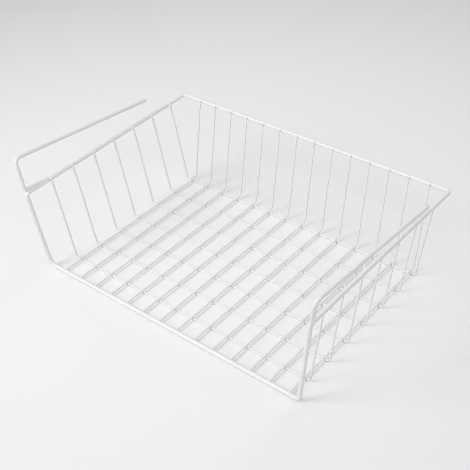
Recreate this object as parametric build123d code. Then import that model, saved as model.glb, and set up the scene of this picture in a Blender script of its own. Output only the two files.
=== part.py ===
from build123d import *
import os
from math import atan2, cos

# Under-shelf basket of welded, white-coated steel wire.
# One thick frame wire runs round the mouth and down round the open front.
# Thin wires make the floor, the back and the two sides, and two hook arms
# go over a shelf board. Millimetres: +Z up, +Y from the open front to the back.

# Wire stock, coating included
frame_wire_diameter = 5.2
arm_wire_diameter = 5.0
thin_wire_diameter = 2.3
weld_bite = 0.1                  # how far two crossing wires sink into each other

# Frame wire, on its centre line
rim_width = 393.4                # left rim to right rim
rim_height = 107.3               # front floor run up to the rim
rim_back = 263.2                 # front floor run to the back rim
front_flare = 8.9                # each front edge leans outwards this far, on average
front_run_shift = -4.4           # the floor run is set this far off the middle
left_front_lean = -7.9           # the rim's left front corner, ahead of the floor run
right_front_lean = 5.7           # the rim's right front corner, behind the floor run
rim_bend_radius = 4.5
left_foot_bend_radius = 10.0
right_foot_bend_radius = 4.5

# Lengthwise wires: along the floor, then up the back
lengthwise_count = 14
left_floor_margin = 9.0          # foot of the left side to the first of them
right_floor_margin = 6.6         # the last of them to the foot of the right side
back_flare = 23.6                # the back leans outwards this far
back_top_set = 2.6               # the back's tops are to the right of their feet
back_bend_radius = 8.0
front_end_gap = 1.0              # the cut ends stop this far behind the front run's centre

# Crosswise wires: up the left side, across the floor, up the right side
crosswise_count = 7
first_crosswise = 28.1           # front floor run to the first crosswise wire
last_crosswise = 6.9             # the last crosswise wire to the foot of the back
side_flare = 19.9                # each side leans outwards this far
right_top_set = 5.4              # the right side's tops are behind their feet
side_bend_radius = 5.0

# Where the thin wires stop above the rim's centre line
back_end_rise = 2.0
side_end_rise = 2.5
end_rounding = 0.5               # the dipped coating rounds each cut end

# Hook arms
arm_flare = 12.8                 # each riser leans outwards this far from the rim
arm_top_height = 40.7            # the rim's centre line up to the top bends
arm_top_ahead = 3.9              # the top bends, ahead of the front floor run
prong_run = 205.1                # level length of a prong, from the top bend to its tip
prong_drop = 21.0                # the tip hangs lower than the top bend
prong_toe_in = 5.3               # the tip is nearer the middle than the top bend
arm_top_radius = 7.5
arm_foot_radius = 3.6
left_foot_set = 0.5              # the left riser's foot, behind the rim's left front corner
right_foot_set = -1.5            # the right riser's foot, ahead of its right front corner
foot_outset = 2.4                # the riser's foot, outside the rim
foot_rise = 3.0                  # the riser's foot, above the rim
leg_run = 33.0                   # the welded leg, from the riser's foot to its end
leg_end_outset = 1.2
leg_end_rise = 1.5

# Worked out from the sizes above
frame_radius = frame_wire_diameter / 2
thin_radius = thin_wire_diameter / 2
front_run_level = frame_radius
rim_level = front_run_level + rim_height
crosswise_level = thin_radius
lengthwise_level = crosswise_level + thin_wire_diameter - weld_bite
rim_half = rim_width / 2
front_run_half = rim_half - front_flare
floor_left = -rim_half + side_flare
floor_right = rim_half - side_flare
floor_depth = rim_back - back_flare
seat_reach = frame_radius + thin_radius - weld_bite
lengthwise_first = floor_left + left_floor_margin
lengthwise_last = floor_right - right_floor_margin
lengthwise_pitch = (lengthwise_last - lengthwise_first) / (lengthwise_count - 1)
crosswise_last = floor_depth - last_crosswise
crosswise_pitch = (crosswise_last - first_crosswise) / (crosswise_count - 1)


def wire_along(points, radii, diameter):
    """One round wire with its straight runs joined by tangent bends."""
    path = FilletPolyline(*points, radius=radii)
    section = Plane(origin=path @ 0, z_dir=path % 0) * Circle(diameter / 2)
    return sweep(section, path=path)


def round_end(wire, end_point):
    """Soften the sharp rim of the cut end that lies at end_point."""
    rim = wire.edges().filter_by(GeomType.CIRCLE).sort_by_distance(end_point)[0]
    return fillet(rim, end_rounding)


def frame_half(rim_x, lean, foot_x, foot_radius):
    """Half of the frame wire, from the middle of the back rim to the front run."""
    points = [
        (0, rim_back, rim_level),
        (rim_x, rim_back, rim_level),
        (rim_x, lean, rim_level),
        (foot_x, 0, front_run_level),
        (front_run_shift, 0, front_run_level),
    ]
    radii = [rim_bend_radius, rim_bend_radius, foot_radius]
    return wire_along(points, radii, frame_wire_diameter)


def frame_wire():
    """The closed frame wire, butt-welded from its two halves."""
    left_foot = front_run_shift - front_run_half
    right_foot = front_run_shift + front_run_half
    left = frame_half(-rim_half, left_front_lean, left_foot, left_foot_bend_radius)
    right = frame_half(rim_half, right_front_lean, right_foot, right_foot_bend_radius)
    return (left + right).solid()


def leaning_top(foot, seat, rise):
    """The end of a wall wire that leans from foot to its seat beside the rim.

    Both are (sideways, height) pairs, and the wire goes on past the seat by rise.
    """
    lean = atan2(seat[0] - foot[0], seat[1] - foot[1])
    outward = 1 if seat[0] > foot[0] else -1
    correction = outward * seat_reach * (1 - 1 / cos(lean))
    sideways = seat[0] + correction
    slope = (sideways - foot[0]) / (seat[1] - foot[1])
    return sideways + slope * rise, seat[1] + rise


def lengthwise_wire(index, frame):
    """One wire along the floor and up the back, its front end cut to the front run."""
    x = lengthwise_first + index * lengthwise_pitch
    foot = (floor_depth, lengthwise_level)
    top_y, top_z = leaning_top(foot, (rim_back - seat_reach, rim_level), back_end_rise)
    top = (x + back_top_set, top_y, top_z)
    points = [(x, front_end_gap, lengthwise_level), (x, *foot), top]
    wire = wire_along(points, [back_bend_radius], thin_wire_diameter)
    return (round_end(wire, top) - frame).solid()


def crosswise_wire(index):
    """One wire up the left side, across the floor and up the right side."""
    y = first_crosswise + index * crosswise_pitch
    left_foot = (floor_left, crosswise_level)
    right_foot = (floor_right, crosswise_level)
    seat_x = rim_half - seat_reach
    left_x, left_z = leaning_top(left_foot, (-seat_x, rim_level), side_end_rise)
    right_x, right_z = leaning_top(right_foot, (seat_x, rim_level), side_end_rise)
    left_top = (left_x, y, left_z)
    right_top = (right_x, y + right_top_set, right_z)
    points = [
        left_top,
        (left_foot[0], y, left_foot[1]),
        (right_foot[0], y, right_foot[1]),
        right_top,
    ]
    wire = wire_along(points, [side_bend_radius] * 2, thin_wire_diameter)
    return round_end(round_end(wire, left_top), right_top)


def hook_arm(side, foot_y, frame):
    """One hook arm: prong, top bend, riser and the leg welded along the rim."""
    spread = rim_half + arm_flare
    top_z = rim_level + arm_top_height
    tip = (side * (spread - prong_toe_in), prong_run - arm_top_ahead, top_z - prong_drop)
    points = [
        tip,
        (side * spread, -arm_top_ahead, top_z),
        (side * (rim_half + foot_outset), foot_y, rim_level + foot_rise),
        (side * (rim_half + leg_end_outset), foot_y + leg_run, rim_level + leg_end_rise),
    ]
    arm = wire_along(points, [arm_top_radius, arm_foot_radius], arm_wire_diameter)
    return (round_end(arm, tip) - frame).solid()


def basket():
    """Every piece by its name, with the front floor run at zero."""
    frame = frame_wire()
    pieces = {"frame_wire": frame}
    for index in range(lengthwise_count):
        pieces[f"lengthwise_wire_{index + 1:02d}"] = lengthwise_wire(index, frame)
    for index in range(crosswise_count):
        pieces[f"crosswise_wire_{index + 1}"] = crosswise_wire(index)
    pieces["left_hook_arm"] = hook_arm(-1, left_front_lean + left_foot_set, frame)
    pieces["right_hook_arm"] = hook_arm(1, right_front_lean + right_foot_set, frame)
    return pieces


pieces = basket()

# The origin is on the ground, under the middle of the whole basket's box
box = Compound(list(pieces.values())).bounding_box()
home = Pos(-box.center().X, -box.center().Y, -box.min.Z)
print("moved by", [round(value, 3) for value in home.position])

os.makedirs("parts", exist_ok=True)
for name, piece in pieces.items():
    export_step(home * piece, f"parts/{name}.step")
    print(name, round(piece.volume, 1), "mm3")
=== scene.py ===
from math import cos, pi, radians, sin, sqrt

import bmesh
import bpy
from mathutils import Matrix, Vector


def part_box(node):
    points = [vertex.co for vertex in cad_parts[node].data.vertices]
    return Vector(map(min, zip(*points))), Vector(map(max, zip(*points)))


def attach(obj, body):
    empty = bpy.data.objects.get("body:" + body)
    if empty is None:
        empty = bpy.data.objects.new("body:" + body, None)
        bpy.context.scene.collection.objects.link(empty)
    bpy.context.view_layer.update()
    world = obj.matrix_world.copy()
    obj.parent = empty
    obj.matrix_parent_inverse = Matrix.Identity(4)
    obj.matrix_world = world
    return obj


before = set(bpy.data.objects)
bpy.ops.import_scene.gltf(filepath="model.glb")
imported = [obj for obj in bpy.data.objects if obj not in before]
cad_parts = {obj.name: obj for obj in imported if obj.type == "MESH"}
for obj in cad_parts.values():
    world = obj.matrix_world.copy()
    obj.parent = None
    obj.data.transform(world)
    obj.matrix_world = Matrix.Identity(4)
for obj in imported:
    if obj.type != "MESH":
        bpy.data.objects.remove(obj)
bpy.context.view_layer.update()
rim_low, rim_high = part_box("frame_wire")

# Camera, in metres and degrees, solved from the wires in the photograph
CAMERA_PLACE = Vector((0.58785, -0.63678, 0.71840))
CAMERA_AZIMUTH = radians(42.829)
CAMERA_ELEVATION = radians(37.658)
CAMERA_ROLL = radians(-5.106)
CAMERA_LENS_MM = 72.293
SENSOR_MM = 36.0
PIXEL_FILTER = 0.8

# White dip coating: sheen, tone and surface
COATING_IOR = 1.48
COAT_WEIGHT = 0.15
COAT_ROUGHNESS = 0.2
DARKER_TONE = (0.775, 0.776, 0.788, 1)
LIGHTER_TONE = (0.856, 0.857, 0.868, 1)
SMOOTHEST, ROUGHEST = 0.32, 0.48
PATCHES_PER_METRE, PATCH_DETAIL = 45.0, 3.0
PEEL_PER_METRE, PEEL_DETAIL = 900.0, 2.0
PEEL_STRENGTH = 0.25
PEEL_DEPTH = 0.0001

# Coated wires, in metres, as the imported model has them
THIN_RADIUS = 0.00115
FRAME_RADIUS = 0.0026
ARM_RADIUS = 0.0025
WELD_BITE = 0.0001
BACK_FLARE = 0.0236
SIDE_FLARE = 0.0199
LEG_RUN = 0.033
LEG_FOOT_OUTSET, LEG_FOOT_RISE = 0.0024, 0.003
LEG_END_OUTSET, LEG_END_RISE = 0.0012, 0.0015
LEFT_LEG_FOOT_Y, RIGHT_LEG_FOOT_Y = -0.13522, -0.12362
LENGTHWISE_WIRES = [f"lengthwise_wire_{count:02d}" for count in range(1, 15)]
CROSSWISE_WIRES = [f"crosswise_wire_{count}" for count in range(1, 8)]

# Where wires meet, the coating runs into a small hollow, in metres. The shares
# say how far it is drawn in, and where along the leg its seams begin.
HOLLOW_RADIUS = 0.00045
LEG_HOLLOW_RADIUS = 0.0004
LEG_CAP_LENGTH = 0.0018
LEG_CAP_LAP = 0.0004
WAIST_SHARE = 0.5
LEG_START_SHARE = 0.12
UNDER_SURFACE = 0.00003
SIDES = 20
ROWS = 5
LEG_STATIONS = 12

# Soft lamps round the basket, all aimed at its middle. Azimuth 0 is in front
# of it and turns towards its left; sizes in metres, power in watts.
LAMP_DISTANCE = 2.3
WORLD_STRENGTH = 0.36
LAMPS = [
    {"name": "window", "azimuth": 36, "elevation": 45, "width": 0.9, "height": 0.8, "watts": 16.5},
    {"name": "low_window", "azimuth": 25, "elevation": 22, "width": 1.7, "height": 0.8, "watts": 9.2},
    {"name": "front_fill", "azimuth": -40, "elevation": 50, "width": 0.9, "height": 0.9, "watts": 7.8},
    {"name": "right_fill", "azimuth": -90, "elevation": 50, "width": 0.9, "height": 0.9, "watts": 6.4},
    {"name": "left_fill", "azimuth": 90, "elevation": 50, "width": 0.9, "height": 0.9, "watts": 3.8},
    {"name": "back_fill", "azimuth": 180, "elevation": 50, "width": 0.9, "height": 0.9, "watts": 6.2},
]

# Pale floor, painted greyer and warmer away from the basket as painted shade where less light falls,
# in metres.
# Further out it runs into the backdrop.
FLOOR_HALF = 4.0
FLOOR_MIDDLE = (-0.08, 0.09, 0)
FLOOR_NEAR, FLOOR_FAR = 0.2, 1.2
HORIZON_NEAR, HORIZON_FAR = 0.85, 1.9
BACKDROP_TONE = (0.72, 0.71, 0.71, 1)
FLOOR_NEAR_TONE = (0.884, 0.882, 0.893, 1)
FLOOR_FAR_PAINTED_SHADE_TONE = (0.668, 0.640, 0.627, 1)


def add_camera():
    """The camera at the photograph's place, turned the way it looked."""
    azimuth, elevation = CAMERA_AZIMUTH, CAMERA_ELEVATION
    back = Vector((sin(azimuth) * cos(elevation), -cos(azimuth) * cos(elevation), sin(elevation)))
    level = Vector((cos(azimuth), sin(azimuth), 0))
    right = Matrix.Rotation(CAMERA_ROLL, 3, back) @ level
    up = back.cross(right)
    data = bpy.data.cameras.new("camera")
    data.sensor_fit = "HORIZONTAL"
    data.sensor_width = SENSOR_MM
    data.lens = CAMERA_LENS_MM
    camera = bpy.data.objects.new("camera", data)
    turn = Matrix((right, up, back)).transposed()
    camera.matrix_world = Matrix.Translation(CAMERA_PLACE) @ turn.to_4x4()
    bpy.context.scene.collection.objects.link(camera)
    bpy.context.scene.camera = camera
    bpy.context.scene.cycles.filter_width = PIXEL_FILTER


def new_material(name):
    """An empty node material and the tools to fill it."""
    material = bpy.data.materials.new(name)
    material.use_nodes = True
    material.node_tree.nodes.clear()
    return material, material.node_tree.nodes, material.node_tree.links


def coated_wire_material():
    """White dip coating: a little uneven in thickness, sheen and tone."""
    material, nodes, links = new_material("coated_wire")
    output = nodes.new("ShaderNodeOutputMaterial")
    shader = nodes.new("ShaderNodeBsdfPrincipled")
    shader.inputs["IOR"].default_value = COATING_IOR
    shader.inputs["Coat Weight"].default_value = COAT_WEIGHT
    shader.inputs["Coat Roughness"].default_value = COAT_ROUGHNESS
    place = nodes.new("ShaderNodeTexCoord")
    patches = nodes.new("ShaderNodeTexNoise")
    patches.inputs["Scale"].default_value = PATCHES_PER_METRE
    patches.inputs["Detail"].default_value = PATCH_DETAIL
    tone = nodes.new("ShaderNodeValToRGB")
    tone.color_ramp.elements[0].color = DARKER_TONE
    tone.color_ramp.elements[1].color = LIGHTER_TONE
    gloss = nodes.new("ShaderNodeMapRange")
    gloss.inputs["To Min"].default_value = SMOOTHEST
    gloss.inputs["To Max"].default_value = ROUGHEST
    peel = nodes.new("ShaderNodeTexNoise")
    peel.inputs["Scale"].default_value = PEEL_PER_METRE
    peel.inputs["Detail"].default_value = PEEL_DETAIL
    bump = nodes.new("ShaderNodeBump")
    bump.inputs["Strength"].default_value = PEEL_STRENGTH
    bump.inputs["Distance"].default_value = PEEL_DEPTH
    links.new(place.outputs["Object"], patches.inputs["Vector"])
    links.new(place.outputs["Object"], peel.inputs["Vector"])
    links.new(patches.outputs["Fac"], tone.inputs["Fac"])
    links.new(patches.outputs["Fac"], gloss.inputs["Value"])
    links.new(peel.outputs["Fac"], bump.inputs["Height"])
    links.new(tone.outputs["Color"], shader.inputs["Base Color"])
    links.new(gloss.outputs["Result"], shader.inputs["Roughness"])
    links.new(bump.outputs["Normal"], shader.inputs["Normal"])
    links.new(shader.outputs["BSDF"], output.inputs["Surface"])
    return material


def dress_wires(material):
    """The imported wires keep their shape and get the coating."""
    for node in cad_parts.values():
        for slot in node.material_slots:
            slot.material = material


def closed_shell(bm, rings, first_tip, last_tip):
    """A closed skin through rings of points; both tips lie inside the wires."""
    loops = [[bm.verts.new(point) for point in ring] for ring in rings]
    count = len(loops[0])
    for low, high in zip(loops, loops[1:]):
        for side in range(count):
            after = (side + 1) % count
            bm.faces.new((low[side], low[after], high[after], high[side]))
    for loop, tip in ((loops[0], first_tip), (loops[-1], last_tip)):
        centre = bm.verts.new(tip)
        for side in range(count):
            after = (side + 1) % count
            bm.faces.new((loop[side], loop[after], centre))
            bm.edges.get((loop[side], loop[after])).smooth = False


def hollow_curve(start, waist, end):
    """Points from start to end on a curve that is drawn in towards waist."""
    shares = [row / ROWS for row in range(ROWS + 1)]
    return [start * (1 - s) ** 2 + waist * 2 * s * (1 - s) + end * s ** 2 for s in shares]


def columns_to_rings(columns):
    """The same points, ring by ring instead of column by column."""
    return [list(ring) for ring in zip(*columns)]


def crossing_hollow(bm, contact, along_low, along_high, normal, low_radius, high_radius):
    """Coating round the contact of two crossing wires; normal points to the second one."""
    low_reach = 2 * sqrt(high_radius * HOLLOW_RADIUS)
    high_reach = 2 * sqrt(low_radius * HOLLOW_RADIUS)
    low_side = high_reach * low_radius / (low_radius + HOLLOW_RADIUS)
    high_side = low_reach * high_radius / (high_radius + HOLLOW_RADIUS)
    columns = []
    for side in range(SIDES):
        turn = 2 * pi * side / SIDES
        across = low_side * sin(turn)
        depth = low_radius - sqrt(low_radius ** 2 - across ** 2) + UNDER_SURFACE
        low = along_low * low_reach * cos(turn) + along_high * across - normal * depth
        across = high_side * cos(turn)
        depth = high_radius - sqrt(high_radius ** 2 - across ** 2) + UNDER_SURFACE
        high = along_low * across + along_high * high_reach * sin(turn) + normal * depth
        middle = (low + high) / 2
        waist = (middle - normal * middle.dot(normal)) * WAIST_SHARE
        columns.append([contact + point for point in hollow_curve(low, waist, high)])
    low_tip = contact - normal * low_radius
    high_tip = contact + normal * high_radius
    closed_shell(bm, columns_to_rings(columns), low_tip, high_tip)


def draw_floor_welds(bm):
    """Each lengthwise wire lies across each crosswise wire."""
    for lengthwise in LENGTHWISE_WIRES:
        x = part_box(lengthwise)[0].x + THIN_RADIUS
        for crosswise in CROSSWISE_WIRES:
            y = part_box(crosswise)[0].y + THIN_RADIUS
            contact = Vector((x, y, 2 * THIN_RADIUS - WELD_BITE / 2))
            ways = [Vector((1, 0, 0)), Vector((0, 1, 0)), Vector((0, 0, 1))]
            crossing_hollow(bm, contact, *ways, THIN_RADIUS, THIN_RADIUS)


def seat_hollow(bm, rim_point, rim_way, wire_way):
    """Coating where a leaning wall wire crosses the rim on its inner side."""
    normal = rim_way.cross(wire_way).normalized()
    upward = normal.cross(rim_way)
    contact = rim_point + normal * (FRAME_RADIUS - WELD_BITE / 2)
    crossing_hollow(bm, contact, rim_way, upward, normal, FRAME_RADIUS, THIN_RADIUS)


def wall_lean(flare, foot_z):
    """How far a wall wire goes outwards while it rises from its foot to the rim."""
    return flare - FRAME_RADIUS - THIN_RADIUS, rim_high.z - FRAME_RADIUS - foot_z


def draw_back_welds(bm):
    """The lengthwise wires end on the inner side of the back rim."""
    for lengthwise in LENGTHWISE_WIRES:
        low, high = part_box(lengthwise)
        outward, rise = wall_lean(BACK_FLARE, low.z + THIN_RADIUS)
        top_x = high.x - THIN_RADIUS
        drift = top_x - low.x - THIN_RADIUS
        rim_point = Vector((top_x, rim_high.y - FRAME_RADIUS, rim_high.z - FRAME_RADIUS))
        seat_hollow(bm, rim_point, Vector((1, 0, 0)), Vector((drift, outward, rise)))


def draw_side_welds(bm):
    """The crosswise wires end on the inner side of the left and the right rim."""
    for crosswise in CROSSWISE_WIRES:
        low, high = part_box(crosswise)
        outward, rise = wall_lean(SIDE_FLARE, low.z + THIN_RADIUS)
        left_y, right_y = low.y + THIN_RADIUS, high.y - THIN_RADIUS
        left_point = Vector((rim_low.x + FRAME_RADIUS, left_y, rim_high.z - FRAME_RADIUS))
        seat_hollow(bm, left_point, Vector((0, 1, 0)), Vector((-outward, 0, rise)))
        right_point = Vector((rim_high.x - FRAME_RADIUS, right_y, rim_high.z - FRAME_RADIUS))
        seat_hollow(bm, right_point, Vector((0, -1, 0)), Vector((outward, right_y - left_y, rise)))


def run_face(height):
    """How far the front floor run's surface lies behind its centre line at a height."""
    return sqrt(FRAME_RADIUS ** 2 - (height - FRAME_RADIUS) ** 2)


def draw_front_welds(bm):
    """The lengthwise wires' cut ends meet the front floor run."""
    for lengthwise in LENGTHWISE_WIRES:
        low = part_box(lengthwise)[0]
        x, z = low.x + THIN_RADIUS, low.z + THIN_RADIUS
        run_y = low.y - run_face(z + THIN_RADIUS)
        columns = []
        for side in range(SIDES):
            turn = 2 * pi * side / SIDES
            inner, outer = THIN_RADIUS - UNDER_SURFACE, THIN_RADIUS + HOLLOW_RADIUS
            inner_z, outer_z = z + inner * sin(turn), z + outer * sin(turn)
            waist = Vector((x + inner * cos(turn), run_y + run_face(inner_z), inner_z))
            start = waist + Vector((0, HOLLOW_RADIUS, 0))
            end_y = run_y + run_face(outer_z) - UNDER_SURFACE
            end = Vector((x + outer * cos(turn), end_y, outer_z))
            columns.append(hollow_curve(start, waist, end))
        wire_tip = Vector((x, run_y + FRAME_RADIUS + HOLLOW_RADIUS, z))
        run_tip = Vector((x, run_y + FRAME_RADIUS / 2, z))
        closed_shell(bm, columns_to_rings(columns), wire_tip, run_tip)


def leg_centres(rim_x, outward, share):
    """Centres of the rim and of the leg, as (sideways, height), part of the way along."""
    outset = LEG_FOOT_OUTSET + share * (LEG_END_OUTSET - LEG_FOOT_OUTSET)
    rise = LEG_FOOT_RISE + share * (LEG_END_RISE - LEG_FOOT_RISE)
    rim = Vector((rim_x, rim_high.z - FRAME_RADIUS))
    return rim, rim + Vector((outward * outset, rise))


def leg_seam_ring(rim, leg, y, hand):
    """One section of the coating that fills the groove between rim and leg."""
    along = (leg - rim).normalized()
    across = Vector((-along.y, along.x)) * hand
    rim_reach, leg_reach = FRAME_RADIUS + LEG_HOLLOW_RADIUS, ARM_RADIUS + LEG_HOLLOW_RADIUS
    apart = (leg - rim).length
    forward = (rim_reach ** 2 - leg_reach ** 2 + apart ** 2) / (2 * apart)
    hollow = rim + along * forward + across * sqrt(rim_reach ** 2 - forward ** 2)
    on_rim = rim + (hollow - rim) * (FRAME_RADIUS - UNDER_SURFACE) / rim_reach
    on_leg = leg + (hollow - leg) * (ARM_RADIUS - UNDER_SURFACE) / leg_reach
    ring = []
    for row in range(ROWS + 1):
        way = on_rim.lerp(on_leg, row / ROWS) - hollow
        ring.append(hollow + way.normalized() * (LEG_HOLLOW_RADIUS + UNDER_SURFACE))
    ring.append((rim + leg) / 2 + across * FRAME_RADIUS / 2)
    return [Vector((point.x, y, point.y)) for point in ring]


def draw_leg_weld(bm, rim_x, outward, foot_y):
    """The leg's groove is filled on both sides, and its end is rounded over."""
    for hand in (-1, 1):
        rings = []
        for station in range(LEG_STATIONS + 1):
            share = LEG_START_SHARE + (1 - LEG_START_SHARE) * station / LEG_STATIONS
            rim, leg = leg_centres(rim_x, outward, share)
            rings.append(leg_seam_ring(rim, leg, foot_y + share * LEG_RUN, hand))
        tips = [sum(ring, Vector()) / len(ring) for ring in (rings[0], rings[-1])]
        closed_shell(bm, rings, *tips)
    foot = leg_centres(rim_x, outward, 0)[1]
    end = leg_centres(rim_x, outward, 1)[1]
    foot, end = Vector((foot.x, foot_y, foot.y)), Vector((end.x, foot_y + LEG_RUN, end.y))
    way = (end - foot).normalized()
    level = way.cross(Vector((0, 0, 1))).normalized()
    upward = level.cross(way)
    radius = ARM_RADIUS + UNDER_SURFACE
    turns = [2 * pi * side / SIDES for side in range(SIDES)]
    circle = [(level * cos(turn) + upward * sin(turn)) * radius for turn in turns]
    rings = [[end - way * LEG_CAP_LAP + point for point in circle]]
    for row in range(ROWS):
        bend = radians(90) * row / ROWS
        rings.append([end + way * LEG_CAP_LENGTH * sin(bend) + point * cos(bend) for point in circle])
    closed_shell(bm, rings, end - way * LEG_CAP_LAP, end + way * LEG_CAP_LENGTH)


def add_welds(name, material, draw, *places):
    """A piece of the coating where wires meet, drawn by one of the functions above."""
    bm = bmesh.new()
    draw(bm, *places)
    bmesh.ops.recalc_face_normals(bm, faces=bm.faces)
    mesh = bpy.data.meshes.new(name)
    bm.to_mesh(mesh)
    bm.free()
    mesh.polygons.foreach_set("use_smooth", [True] * len(mesh.polygons))
    mesh.materials.append(material)
    piece = bpy.data.objects.new(name, mesh)
    bpy.context.scene.collection.objects.link(piece)
    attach(piece, "root")


def weld_wires(material):
    """All the places where wires meet."""
    add_welds("floor_welds", material, draw_floor_welds)
    add_welds("back_rim_welds", material, draw_back_welds)
    add_welds("side_rim_welds", material, draw_side_welds)
    add_welds("front_run_welds", material, draw_front_welds)
    left_x, right_x = rim_low.x + FRAME_RADIUS, rim_high.x - FRAME_RADIUS
    add_welds("left_leg_weld", material, draw_leg_weld, left_x, -1, LEFT_LEG_FOOT_Y)
    add_welds("right_leg_weld", material, draw_leg_weld, right_x, 1, RIGHT_LEG_FOOT_Y)


def seeing_rays(nodes, links):
    """One for the rays that look at the backdrop, directly or in a reflection."""
    rays = nodes.new("ShaderNodeLightPath")
    direct = nodes.new("ShaderNodeMath")
    direct.operation = "MAXIMUM"
    either = nodes.new("ShaderNodeMath")
    either.operation = "MAXIMUM"
    links.new(rays.outputs["Is Camera Ray"], direct.inputs[0])
    links.new(rays.outputs["Is Glossy Ray"], direct.inputs[1])
    links.new(direct.outputs["Value"], either.inputs[0])
    links.new(rays.outputs["Is Transmission Ray"], either.inputs[1])
    return either.outputs["Value"]


def add_floor():
    """A large pale floor that runs past the picture on every side."""
    mesh = bpy.data.meshes.new("floor")
    half = FLOOR_HALF
    corners = [(-half, -half, 0), (half, -half, 0), (half, half, 0), (-half, half, 0)]
    mesh.from_pydata(corners, [], [(0, 1, 2, 3)])
    floor = bpy.data.objects.new("floor", mesh)
    bpy.context.scene.collection.objects.link(floor)
    material, nodes, links = new_material("floor")
    output = nodes.new("ShaderNodeOutputMaterial")
    shader = nodes.new("ShaderNodeBsdfDiffuse")
    place = nodes.new("ShaderNodeTexCoord")
    away = nodes.new("ShaderNodeVectorMath")
    away.operation = "DISTANCE"
    away.inputs[1].default_value = FLOOR_MIDDLE
    reach = nodes.new("ShaderNodeMapRange")
    reach.interpolation_type = "SMOOTHSTEP"
    reach.inputs["From Min"].default_value = FLOOR_NEAR
    reach.inputs["From Max"].default_value = FLOOR_FAR
    # Painted shade: the floor's colour darkens and warms away from the basket's middle
    tone = nodes.new("ShaderNodeValToRGB")
    tone.color_ramp.elements[0].color = FLOOR_NEAR_TONE
    tone.color_ramp.elements[1].color = FLOOR_FAR_PAINTED_SHADE_TONE
    links.new(place.outputs["Object"], away.inputs[0])
    links.new(away.outputs["Value"], reach.inputs["Value"])
    links.new(reach.outputs["Result"], tone.inputs["Fac"])
    links.new(tone.outputs["Color"], shader.inputs["Color"])
    # Far from the basket the camera sees the floor run out into the backdrop
    horizon = nodes.new("ShaderNodeMapRange")
    horizon.interpolation_type = "SMOOTHSTEP"
    horizon.inputs["From Min"].default_value = HORIZON_NEAR
    horizon.inputs["From Max"].default_value = HORIZON_FAR
    seen = nodes.new("ShaderNodeMath")
    seen.operation = "MULTIPLY"
    backdrop = nodes.new("ShaderNodeEmission")
    backdrop.inputs["Color"].default_value = BACKDROP_TONE
    merge = nodes.new("ShaderNodeMixShader")
    links.new(away.outputs["Value"], horizon.inputs["Value"])
    links.new(horizon.outputs["Result"], seen.inputs[0])
    links.new(seeing_rays(nodes, links), seen.inputs[1])
    links.new(seen.outputs["Value"], merge.inputs["Fac"])
    links.new(shader.outputs["BSDF"], merge.inputs[1])
    links.new(backdrop.outputs["Emission"], merge.inputs[2])
    links.new(merge.outputs["Shader"], output.inputs["Surface"])
    mesh.materials.append(material)


def add_lamp(name, azimuth, elevation, width, height, watts):
    """A soft area lamp at the lamp distance, aimed at the middle of the basket."""
    turn, rise = radians(azimuth), radians(elevation)
    direction = Vector((-sin(turn) * cos(rise), -cos(turn) * cos(rise), sin(rise)))
    data = bpy.data.lights.new(name, "AREA")
    data.shape = "RECTANGLE"
    data.size = width
    data.size_y = height
    data.energy = watts
    lamp = bpy.data.objects.new(name, data)
    lamp.location = direction * LAMP_DISTANCE
    lamp.rotation_euler = (-direction).to_track_quat("-Z", "Y").to_euler()
    bpy.context.scene.collection.objects.link(lamp)


def light_scene():
    """Window light from the picture's left, high and low, and weaker fills all round."""
    world = bpy.data.worlds.new("room")
    world.use_nodes = True
    nodes, links = world.node_tree.nodes, world.node_tree.links
    air = nodes["Background"]
    air.inputs["Color"].default_value = (1, 1, 1, 1)
    air.inputs["Strength"].default_value = WORLD_STRENGTH
    backdrop = nodes.new("ShaderNodeBackground")
    backdrop.inputs["Color"].default_value = BACKDROP_TONE
    merge = nodes.new("ShaderNodeMixShader")
    links.new(seeing_rays(nodes, links), merge.inputs["Fac"])
    links.new(air.outputs["Background"], merge.inputs[1])
    links.new(backdrop.outputs["Background"], merge.inputs[2])
    links.new(merge.outputs["Shader"], nodes["World Output"].inputs["Surface"])
    bpy.context.scene.world = world
    for lamp in LAMPS:
        add_lamp(**lamp)


add_camera()
coating = coated_wire_material()
dress_wires(coating)
weld_wires(coating)
add_floor()
light_scene()
bpy.context.scene.view_settings.view_transform = "Standard"
